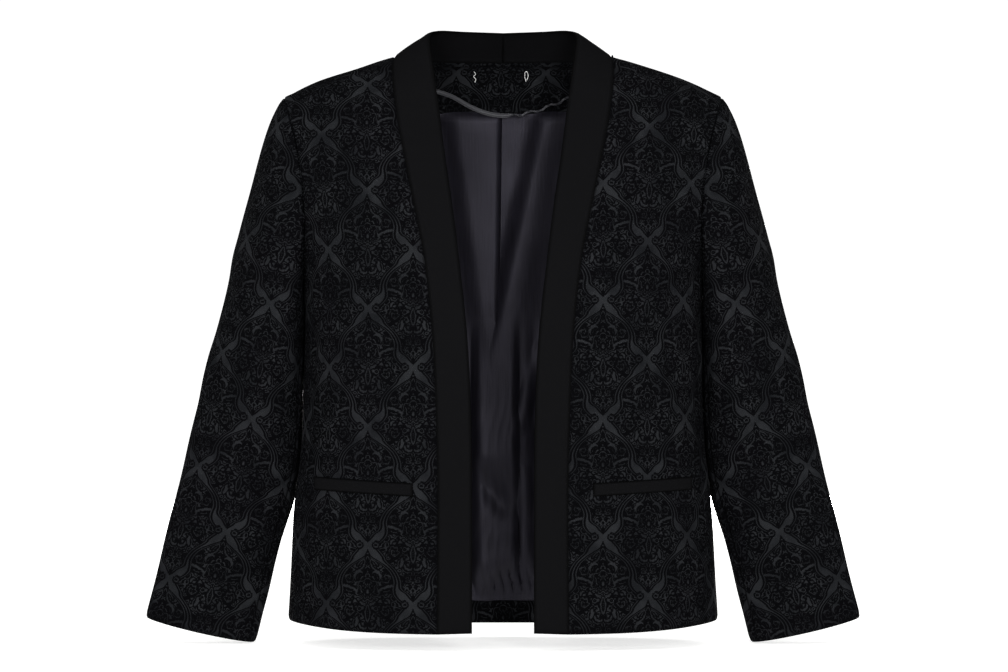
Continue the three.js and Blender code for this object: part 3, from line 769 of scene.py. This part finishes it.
whole_sleeve = sleeve_cloth(sleeve_rings())
u, v = whole_sleeve[..., 3], whole_sleeve[..., 4]
share = np.linspace(0, 1, len(whole_sleeve))[:, None]
free = smooth_step(share, *SLEEVE_FREE_FROM)
sleeve_middle = whole_sleeve[..., :3].mean(axis=(0, 1))
lift = folds(u, v, SLEEVE_CREASES, SLEEVE_SEED) + unevenness(u, v, *SLEEVE_WAVES)
lift = lift * free
lift[:, -1] = lift[:, 0] = (lift[:, -1] + lift[:, 0]) / 2
whole_sleeve = raised(whole_sleeve, lift, sleeve_middle)
last = whole_sleeve.shape[1] - 1
under_sleeve = np.concatenate(
    [whole_sleeve[:, BACK_SEAM_COLUMN:last], whole_sleeve[:, : FRONT_SEAM_COLUMN + 1]], axis=1
)
turn = whole_sleeve[:, :1, 3] - whole_sleeve[:, -1:, 3]
under_sleeve[:, : last - BACK_SEAM_COLUMN, 3] += turn
top_sleeve = whole_sleeve[:, FRONT_SEAM_COLUMN : BACK_SEAM_COLUMN + 1]
for side, name in ((1, "left"), (-1, "right")):
    for part, cloth, flat, area in (
        ("top", top_sleeve, (0.28, 0.56), 0.11),
        ("under", under_sleeve, (0.09, 0.42), 0.03),
    ):
        piece = cloth_object(
            f"damask_{part}_sleeve_{name}",
            with_rolled_edges(cloth * (side, 1, 1, 1, 1)),
            flocked_damask,
            CLOTH,
            inside=sleeve_middle * (side, 1, 1),
        )
        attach(piece, "root")
        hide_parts(f"{part}_sleeve_{name}")

# The armhole turnings: the damask's raw edges, pressed together inside each armhole seam. They
# are narrow here, and are what keeps the seam from showing light.
TURNING_HALF_WIDTH = 4
TURNING_DEPTH = 3
TURNING_CLOTH = 1.2
TURNING_ROWS = 5
seam_line = whole_sleeve[0, :, :3]
seam_middle = seam_line.mean(axis=0)
inward = seam_middle - seam_line
inward /= np.linalg.norm(inward, axis=1, keepdims=True)
seam_length = np.linalg.norm(np.diff(seam_line, axis=0), axis=1)
seam_length = np.concatenate([[0], np.cumsum(seam_length)])
turning_rows = []
for across in np.linspace(-TURNING_HALF_WIDTH, TURNING_HALF_WIDTH, TURNING_ROWS):
    row = seam_line + inward * TURNING_DEPTH + (across, 0, 0)
    turning_rows.append(np.column_stack([row, seam_length, 0 * seam_length + across]))
for side, name in ((1, "left"), (-1, "right")):
    turning = cloth_object(
        f"armhole_turning_{name}",
        np.array(turning_rows) * (side, 1, 1, 1, 1),
        flocked_damask,
        TURNING_CLOTH,
        inside=seam_middle * (side, 1, 1),
    )
    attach(turning, "root")

# The band: a strip of matt crepe, doubled and pressed, that stands round the back of the neck
# and lies down both front edges. Its two halves meet in a seam at the centre back.
BAND_BULGE = 0.8
BAND_CLOTH = 2.8
BAND_PROUD = 0.5
BAND_COLUMNS = 13
BAND_EDGE = 0.3
BAND_WAVES = (90, 0.35)
BAND_SEEDS = {"left": 21, "right": 19}
TO_NECK_Z = (-100, -30)
BAND_TOP_Z = -35
NECK_END = 0.5

# Degrees round the neck from the centre back, and there the x, y and height of the free edge.
COLLAR = [
    (0, 0, 54, 28),
    (30, 38.5, 53, 29.2),
    (55, 62.5, 39, 29.6),
    (75, 72, 20.5, 27),
    (90, 73.5, 2, 23),
]
collar_line = through(COLLAR)


def band_cloth():
    """Lines across the band from its seam to its free edge, from the hem to the centre back."""
    seams = [row[:3] for row in front_band_seam]
    edges = []
    for x, y, z in seams:
        _, edge_x, rise = band_lines(z)
        flat = form_y(edge_x, min(z + rise, BAND_TOP_Z), -1)
        to_neck = smooth_step(z, *TO_NECK_Z)
        edges.append((edge_x, flat + (y + COLLAR[-1][2] - flat) * to_neck, z + rise))
    seams[-1] = seams[-1] * (1, 0, 1)
    for seam in back_neck_seam[::-1, :3]:
        if seam[0] < NECK_HALF_WIDTH - NECK_END:
            angle = np.degrees(np.arcsin((seam[0] / NECK_HALF_WIDTH) ** (ROUNDNESS / 2)))
            seams.append(seam)
            edges.append(collar_line(angle))
    seams, edges = np.array(seams), np.array(edges)
    shares = np.linspace(0, 1, BAND_COLUMNS)
    points = seams[:, None] + (edges - seams)[:, None] * shares[None, :, None]
    width = np.linalg.norm(edges - seams, axis=1)[:, None] * shares
    middle = points[:, BAND_COLUMNS // 2]
    step = np.linalg.norm(np.diff(middle, axis=0), axis=1)
    length = np.concatenate([[0], np.cumsum(step)])[:, None] + 0 * width
    cloth = np.dstack([points, width, length])
    return raised(cloth, BAND_BULGE * np.sin(np.pi * shares) + 0 * width)


# Crepe: polyester woven of hard-twisted thread. Its pebbled face has no shine, only a fine
# grain, drawn here at 0.9 mm where the real one is about 0.4 mm.
PEBBLES_PER_MM = 1.1
matt_crepe = new_material("matt_crepe")
crepe_place = add(matt_crepe, "UVMap", uv_map="cloth")
pebbles = add(
    matt_crepe,
    "TexNoise",
    {"Vector": crepe_place, "Scale": PEBBLES_PER_MM, "Detail": 2.0},
    noise_dimensions="2D",
)
pebble_colour = add(
    matt_crepe,
    "Mix",
    {"Factor": pebbles.outputs[0], 6: colour("#070708"), 7: colour("#0c0c0d")},
    data_type="RGBA",
)
# Painted shade: along seams and edges, including above the welts, the crepe darkens nearly to
# black, standing in for the shadow there.
crepe_painted_shadow_mask = add(matt_crepe, "Attribute", attribute_name="painted_seam_shadow")
crepe_colour = add(
    matt_crepe,
    "Mix",
    {"Factor": crepe_painted_shadow_mask.outputs["Fac"], 6: pebble_colour.outputs[2], 7: colour("#030303")},
    data_type="RGBA",
)
pebble_bump = add(
    matt_crepe, "Bump", {"Height": pebbles.outputs[0], "Strength": 0.5, "Distance": 0.0002}
)
crepe_surface = add(
    matt_crepe,
    "BsdfPrincipled",
    {
        "Base Color": crepe_colour.outputs[2],
        "Roughness": 0.8,
        "Specular IOR Level": 0.012,
        "Normal": pebble_bump,
    },
)
add(matt_crepe, "OutputMaterial", {"Surface": crepe_surface})

half_band = band_cloth()
for side, name in ((1, "left"), (-1, "right")):
    u, v = half_band[..., 3], half_band[..., 4]
    lift = unevenness(u, v, *BAND_WAVES, BAND_SEEDS[name])
    cloth = raised(half_band, lift * inner_part(lift.shape, BAND_EDGE)) * (side, 1, 1, 1, 1)
    band = cloth_object(
        f"crepe_band_{name}", with_rolled_edges(cloth), matt_crepe, BAND_CLOTH, BAND_PROUD
    )
    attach(band, "root")
    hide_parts(f"band_{name}")

# Two welts, each a strip of the same crepe folded over a pocket's mouth and sewn down along
# its lower edge and both ends.
WELT_INNER = (88.4, -423.2)
WELT_OUTER = (185.5, -418)
WELT_HEIGHT = 12.3
WELT_CLOTH = 2
WELT_LIFT = 0.5
WELT_COLUMNS, WELT_ROWS = 42, 9
along = np.linspace(0, 1, WELT_COLUMNS)
down = np.linspace(0, 1, WELT_ROWS)[:, None]
x = WELT_INNER[0] + along * (WELT_OUTER[0] - WELT_INNER[0]) + 0 * down
z = WELT_INNER[1] + along * (WELT_OUTER[1] - WELT_INNER[1]) - down * WELT_HEIGHT
welt_cloth = with_rolled_edges(np.dstack([x, form_y(x, z, -1), z, x, z]))
for side, name in ((1, "left"), (-1, "right")):
    welt = cloth_object(
        f"crepe_welt_{name}",
        welt_cloth * (side, 1, 1, 1, 1),
        matt_crepe,
        WELT_CLOTH,
        WELT_LIFT + WELT_CLOTH,
    )
    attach(welt, "root")
    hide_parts(f"pocket_welt_{name}")

# The back neck facing: a curved strip of the damask inside the neck, sewn to the band above
# and to the lining below.
LAYER_GAP = 0.5
LAYER_MARGIN = 2.5
FACING_CLOTH = 1.2
FACING_FIGURE = (-2, -7)
FACING_FOOT, FACING_TOP, FACING_ROWS = 0.784, 0.985, 16
LAYER_COLUMNS = 80


def layer_cloth(foot, top, rows):
    """A cloth inside the back between two levels, a little short of its side edges."""
    levels, shares = np.linspace(foot, top, rows), np.linspace(0, 1, LAYER_COLUMNS)
    return both_halves(body_rows(levels, shares, 1, margin=LAYER_MARGIN))


facing_cloth = layer_cloth(FACING_FOOT, FACING_TOP, FACING_ROWS)
facing_cloth[..., 3:] -= FACING_FIGURE
facing = cloth_object(
    "damask_neck_facing",
    with_rolled_edges(facing_cloth),
    flocked_damask,
    FACING_CLOTH,
    -CLOTH - LAYER_GAP,
)
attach(facing, "root")
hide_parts("back_facing")

# The lining: polyester satin, pleated down the centre back and loose enough to fall in soft
# folds that meet in a V. It is sewn to the facing above, and below it bags over its seam with
# the turned-up hem.
LINING_CLOTH = 1.0

# The lining's creases and waves: the seed that draws the creases, the size, height and seed of
# the waves on the whole and on the lower part, how far both stand off the back, and where they
# begin.
LINING_SEED = 5
LINING_WAVES = (60, 0.7, 12)
LOWER_WAVES = (38, 0.5, 14)
LINING_STANDS = 1.5
LOWER_STANDS = 1
LOWER_FROM = (300, 380)
FREE_OF_SEAM = 0.05
PLEAT_FREE = 0.02
LINING_FOLDS = [
    (36, -292, 17, -372, 3.5, 6),
    (-26, -418, 0, -452, -5, 13),
    (22, -420, 26, -520, 2.5, 6),
    (-96, -80, -88, -520, 4, 20),
    (94, -80, 100, -500, 4, 22),
    (-140, -150, -134, -530, 4, 18),
    (142, -180, 136, -530, 4, 18),
]

# The V's two folds and the pleat between them, each as x at its top and at its foot. Then how
# high they rise, and how their sides fall away.
V_TOP, V_FOOT = -50, -300
LEFT_FOLD = (-48, -14)
PLEAT = (-5, -8)
RIGHT_FOLD = (48, -7)
V_RISE = 12
V_FADES = (-320, -240)
LAP_SHARE = 0.75
LAP_SIDE = (-24, 2)
PLEAT_SIDE = (-0.5, 1.5)
RIDGE_STEEP, RIDGE_SLOW = 13, 30

# The fold below the V: its rise at each height, and where its two sides fall away.
LOWER_FOLD = [
    (-547, 0),
    (-530, 4),
    (-508, 17),
    (-475, 12),
    (-430, 11),
    (-395, 15),
    (-330, 11),
    (-260, 0),
]
FOLD_LEFT = (-33, -23)
FOLD_RIGHT = (8, 17)
BESIDE_FOLD = (22, 33)
FOLD_SHARE = 0.6
FOLD_MIDDLE = -8
FOLD_SLANT = 0.25
lower_fold_rise = through(LOWER_FOLD)

# Small gathers: their height, their waves, how these wander, the heights between which they
# grow and end, and the share of them that is left above.
GATHER = 1.1
GATHER_WAVE = 0.6
GATHER_WANDER = ((3, 0.06), (1.5, 0.05))
GATHERS_FROM = (-520, -500)
GATHERS_END = (-546, -536)
GATHERS_ABOVE = 0.15


def centre_pleat(x, z):
    """The height of the folds that meet in a V: on one side a lap that ends sharply at the
    pleat, on the other a ridge that falls away slowly."""

    def off(line):
        return x - np.interp(z, (V_FOOT, V_TOP), line[::-1])

    lap = smooth_step(off(LEFT_FOLD), *LAP_SIDE) * (1 - smooth_step(off(PLEAT), *PLEAT_SIDE))
    beyond = off(RIGHT_FOLD)
    ridge = np.exp(-((beyond / np.where(beyond < 0, RIDGE_STEEP, RIDGE_SLOW)) ** 2))
    return V_RISE * np.maximum(LAP_SHARE * lap, ridge) * smooth_step(z, *V_FADES)


def lower_fold(x, z):
    """The height of the broad fold that runs down from the V and bags over the hem, with a
    lower one beside it."""
    slanted = np.clip(z - FOLD_SLANT * (x - FOLD_MIDDLE), LOWER_FOLD[0][0], LOWER_FOLD[-1][0])
    broad = FOLD_SHARE * (1 - smooth_step(x, *FOLD_RIGHT))
    beside = (1 - FOLD_SHARE) * (1 - smooth_step(x, *BESIDE_FOLD))
    return lower_fold_rise(slanted)[0] * (broad + beside) * smooth_step(x, *FOLD_LEFT)


def gathers(x, z):
    """The height of small gathers, which are strongest below the fold, next to the hem."""
    (far, turn), (near, lean) = GATHER_WANDER
    wander = far * np.sin(turn * z) + near * np.sin(lean * x)
    strength = 1 - (1 - GATHERS_ABOVE) * smooth_step(z, *GATHERS_FROM)
    return GATHER * strength * np.sin(GATHER_WAVE * x + wander) * smooth_step(z, *GATHERS_END)


LINING_FOOT, LINING_TOP = -0.93, 0.7808
LINING_LOWER_ROWS, LINING_UPPER_ROWS, LINING_COLUMNS = 90, 70, 110
CLOSER_IN_MIDDLE = 1.3
lower_levels = np.linspace(LINING_FOOT, 0, LINING_LOWER_ROWS)[:-1]
upper_levels = np.linspace(0, LINING_TOP, LINING_UPPER_ROWS)
lining_levels = np.concatenate([lower_levels, upper_levels])
lining_shares = np.linspace(0, 1, LINING_COLUMNS) ** CLOSER_IN_MIDDLE
half_lining = body_rows(lining_levels, lining_shares, 1, margin=LAYER_MARGIN)
lining_cloth = with_rolled_edges(both_halves(half_lining))
share = np.linspace(0, 1, len(lining_cloth))[:, None]
x, z = lining_cloth[..., 0], lining_cloth[..., 2]
lift = folds(x, z, LINING_FOLDS, LINING_SEED) + unevenness(x, z, *LINING_WAVES)
lift += LINING_STANDS
lift *= smooth_step(np.minimum(share, 1 - share), 0, FREE_OF_SEAM)
lift += lower_fold(x, z) + centre_pleat(x, z) * smooth_step(1 - share, 0, PLEAT_FREE)
lower_lift = unevenness(x, z, *LOWER_WAVES) + LOWER_STANDS + gathers(x, z)
lift += lower_lift * smooth_step(-z, *LOWER_FROM)
lining_cloth = raised(lining_cloth, -np.maximum(0, lift))

# Satin: polyester filament in long floats, with a soft shine, so its folds show as broad pale
# bands. The floats, 0.1 mm wide, are drawn 2 mm wide as the faint streaks that the eye sees.
FLOATS_PER_MM = (0.5, 0.03, 1)
satin = new_material("lining_satin")
lining_place = add(satin, "UVMap", uv_map="cloth")
floats = add(satin, "Mapping", {"Vector": lining_place, "Scale": FLOATS_PER_MM})
streaks = add(
    satin,
    "TexNoise",
    {"Vector": floats, "Scale": 1.0, "Detail": 3.0},
    noise_dimensions="2D",
)
streak_shade = add(satin, "MapRange", {"Value": streaks, "From Min": 0.3, "From Max": 0.7})
satin_colour = add(
    satin,
    "Mix",
    {"Factor": streak_shade, 6: colour("#09080c"), 7: colour("#121117")},
    data_type="RGBA",
)
floats_bump = add(satin, "Bump", {"Height": streak_shade, "Strength": 0.35, "Distance": 0.0002})
satin_surface = add(
    satin,
    "BsdfPrincipled",
    {
        "Base Color": satin_colour.outputs[2],
        "Roughness": 0.58,
        "Specular IOR Level": 0.23,
        "Specular Tint": (0.85, 0.82, 1.0, 1.0),
        "Normal": floats_bump,
    },
)
add(satin, "OutputMaterial", {"Surface": satin_surface})
lining = cloth_object("satin_lining", lining_cloth, satin, LINING_CLOTH, -CLOTH - LAYER_GAP)
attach(lining, "root")
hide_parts("back_lining")

# The back hem: the damask's own lower edge, turned up 23 mm on the inside, pressed, and felled
# to the lining, which hides its raw edge.
TURN_UP_FOOT, TURN_UP_TOP, TURN_UP_ROWS = -0.998, -0.932, 8
turn_up_cloth = with_rolled_edges(layer_cloth(TURN_UP_FOOT, TURN_UP_TOP, TURN_UP_ROWS))
turn_up = cloth_object(
    "damask_hem_turn_up", turn_up_cloth, flocked_damask, FACING_CLOTH, -CLOTH - LAYER_GAP
)
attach(turn_up, "root")
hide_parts("back_hem_turn_up")

# The hanger loop: a narrow satin ribbon, sewn into the facing's lower seam at both ends. It
# lies flat on the wearer's right, and on the left it is twisted into a thin cord.
LOOP_WIDTH = 3.6
TWISTED_WIDTH = 2.2
TWISTS = 7
TWIST_BEGINS, FULLY_TWISTED = 0.5, 0.66
LOOP_CLOTH = 0.7
LOOP_STEPS = 300
LOOP_COLUMNS = 5

# Steps along the loop, and there its x, y and height.
LOOP = [
    (0, -70, 83.1, -29),
    (1, -52, 84.6, -35),
    (2, -32, 85.4, -46),
    (3, -12, 86, -53),
    (4, 10, 86.2, -54.5),
    (5, 32, 86.2, -50),
    (6, 52, 86.2, -43),
    (7, 68, 86, -36),
]
loop_share = np.linspace(0, 1, LOOP_STEPS)
loop_line = through(LOOP)(LOOP[-1][0] * loop_share).T
along = np.gradient(loop_line, axis=0)
along /= np.linalg.norm(along, axis=1, keepdims=True)
up = np.stack([-along[:, 2], 0 * along[:, 0], along[:, 0]], axis=-1)
up /= np.linalg.norm(up, axis=1, keepdims=True)
twisted = smooth_step(loop_share, TWIST_BEGINS, FULLY_TWISTED)
turned = np.clip(loop_share - TWIST_BEGINS, 0, 1) / (1 - TWIST_BEGINS)
angle = np.pi * TWISTS * turned * twisted
cross = up * np.cos(angle)[:, None] + np.cross(along, up) * np.sin(angle)[:, None]
cross *= (LOOP_WIDTH + (TWISTED_WIDTH - LOOP_WIDTH) * twisted)[:, None]
shares = np.linspace(-0.5, 0.5, LOOP_COLUMNS)
loop_points = loop_line[:, None] + cross[:, None] * shares[None, :, None]
length = np.linalg.norm(np.diff(loop_line, axis=0), axis=1)
length = np.concatenate([[0], np.cumsum(length)])
across = LOOP_WIDTH * shares + 0 * length[:, None]
loop_cloth = np.dstack([loop_points, across, length[:, None] + 0 * across])

# Ribbon: polyester, woven of bright filament over fine cross ribs, so it catches more light
# than the lining does. The ribs lie 0.8 mm apart, about twice as far as the real ones.
RIB_SCALE = 0.39
ribbon_satin = new_material("ribbon_satin")
ribbon_place = add(ribbon_satin, "UVMap", uv_map="cloth")
ribs = add(
    ribbon_satin,
    "TexWave",
    {"Vector": ribbon_place, "Scale": RIB_SCALE, "Distortion": 0.6},
    bands_direction="Y",
)
rib_colour = add(
    ribbon_satin,
    "Mix",
    {"Factor": ribs.outputs["Fac"], 6: colour("#232327"), 7: colour("#333337")},
    data_type="RGBA",
)
rib_bump = add(
    ribbon_satin, "Bump", {"Height": ribs.outputs["Fac"], "Strength": 0.4, "Distance": 0.0002}
)
ribbon_surface = add(
    ribbon_satin,
    "BsdfPrincipled",
    {
        "Base Color": rib_colour.outputs[2],
        "Roughness": 0.4,
        "Specular IOR Level": 0.3,
        "Normal": rib_bump,
    },
)
add(ribbon_satin, "OutputMaterial", {"Surface": ribbon_surface})
hanger = cloth_object(
    "ribbon_hanger_loop",
    with_rolled_edges(loop_cloth),
    ribbon_satin,
    LOOP_CLOTH,
    inside=(0, 500, -40),
)
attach(hanger, "root")
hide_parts("hanger_loop")

# Two tacks of white polyester thread, left on the facing where a label's corners were sewn: a
# bent end on the wearer's right and a small double loop on the left.
THREAD = 0.3
THREAD_ABOVE = 4.2
THREAD_WAVE = 0.5

# The threads' bends: x and height.
TACKS = {
    "tack_right": [(-29.5, -10), (-28, -12.5), (-29.8, -15), (-27.8, -17.5), (-28.6, -20.5)],
    "tack_left": [(23.4, -20), (22.2, -14), (23.6, -10), (25.4, -12.5), (25, -16.5),
                  (24, -18.5)],
}

# Sewing thread: spun polyester, whose twisted fibres shade it unevenly along its length.
FIBRES_PER_METRE = 900
white_thread = new_material("white_thread")
thread_place = add(white_thread, "TexCoord").outputs["Object"]
fibres = add(white_thread, "TexNoise", {"Vector": thread_place, "Scale": FIBRES_PER_METRE})
thread_colour = add(
    white_thread,
    "Mix",
    {"Factor": fibres.outputs[0], 6: colour("#8e8e8c"), 7: colour("#ffffff")},
    data_type="RGBA",
)
thread_surface = add(
    white_thread,
    "BsdfPrincipled",
    {"Base Color": thread_colour.outputs[2], "Roughness": 0.7},
)
add(white_thread, "OutputMaterial", {"Surface": thread_surface})
for name, places in TACKS.items():
    curve = bpy.data.curves.new(name, "CURVE")
    curve.dimensions = "3D"
    curve.bevel_depth = THREAD * MM
    curve.bevel_resolution = 2
    strand = curve.splines.new("BEZIER")
    strand.bezier_points.add(len(places) - 1)
    for point, (x, z) in zip(strand.bezier_points, places):
        y = form_y(x, z, 1) - THREAD_ABOVE - THREAD_WAVE * np.sin(z)
        point.co = Vector((x, y, z)) * MM
        point.handle_left_type = point.handle_right_type = "AUTO"
    curve.materials.append(white_thread)
    tack = bpy.data.objects.new(f"label_{name}", curve)
    bpy.context.collection.objects.link(tack)
    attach(tack, "root")

# The studio: a level camera in front at the photograph's viewing angle, two soft boxes before
# the garment, one at its side and one behind it, weak light from above, and a pale floor.
CAMERA_AWAY = 4.5
VIEW_WIDTH = 1.008
VIEW_MIDDLE = (0.001, -0.279)
SENSOR = 36.0
LIT_POINT = Vector((0, 0, -0.25))
camera = bpy.data.objects.new("camera", bpy.data.cameras.new("camera"))
camera.data.sensor_width = SENSOR
camera.data.lens = SENSOR * CAMERA_AWAY / VIEW_WIDTH
camera.location = (VIEW_MIDDLE[0], -CAMERA_AWAY, VIEW_MIDDLE[1])
camera.rotation_euler = (np.pi / 2, 0, 0)
bpy.context.collection.objects.link(camera)
scene = bpy.context.scene
scene.camera = camera
scene.view_settings.view_transform = "Standard"

for name, place, size, power in (
    ("soft_box_left", (-0.9, -4.2, 0.2), 0.8, 80),
    ("soft_box_right", (0.8, -4.2, 0.3), 0.8, 115),
    ("soft_box_side", (-2.4, -3.0, 1.4), 2.2, 25),
    ("soft_box_back", (0.5, 4.2, -0.2), 0.7, 200),
):
    light = bpy.data.objects.new(name, bpy.data.lights.new(name, "AREA"))
    light.data.size = size
    light.data.energy = power
    light.location = place
    aim = LIT_POINT - light.location
    light.rotation_euler = aim.to_track_quat("-Z", "Y").to_euler()
    bpy.context.collection.objects.link(light)

# The backdrop is seen white, but lights the cloth less, as one out of the lamps' reach would.
BACKDROP_LIGHT, BACKDROP_SEEN = 0.2, 1.1
world = bpy.data.worlds.new("studio")
world.use_nodes = True
backdrop = world.node_tree.nodes["Background"]
backdrop.inputs["Color"].default_value = (1, 1, 1, 1)
seen = add(world, "LightPath").outputs["Is Camera Ray"]
strength = add(
    world, "MapRange", {"Value": seen, "To Min": BACKDROP_LIGHT, "To Max": BACKDROP_SEEN}
)
world.node_tree.links.new(strength.outputs[0], backdrop.inputs["Strength"])
scene.world = world

sun = bpy.data.objects.new("overhead_light", bpy.data.lights.new("overhead_light", "SUN"))
sun.data.energy = 1.7
sun.data.angle = 1.6
sun.rotation_euler = (0.2, 0.05, 0)
bpy.context.collection.objects.link(sun)

FLOOR_Z = -0.587
FLOOR_HALF = 60
corners = ((-1, -1), (1, -1), (1, 1), (-1, 1))
floor_mesh = bpy.data.meshes.new("floor")
floor_mesh.from_pydata(
    [(x * FLOOR_HALF, y * FLOOR_HALF, FLOOR_Z) for x, y in corners], [], [(0, 1, 2, 3)]
)
floor = bpy.data.objects.new("floor", floor_mesh)
bpy.context.collection.objects.link(floor)

# Matt white paint, lit a little from within, so that shadows on it stay as pale as the
# photograph's.
floor_paint = new_material("pale_floor")
floor_surface = add(
    floor_paint,
    "BsdfPrincipled",
    {
        "Base Color": colour("#f4f4f2"),
        "Roughness": 0.9,
        "Specular IOR Level": 0.0,
        "Emission Color": (1, 1, 1, 1),
        "Emission Strength": 0.58,
    },
)
add(floor_paint, "OutputMaterial", {"Surface": floor_surface})
floor.data.materials.append(floor_paint)
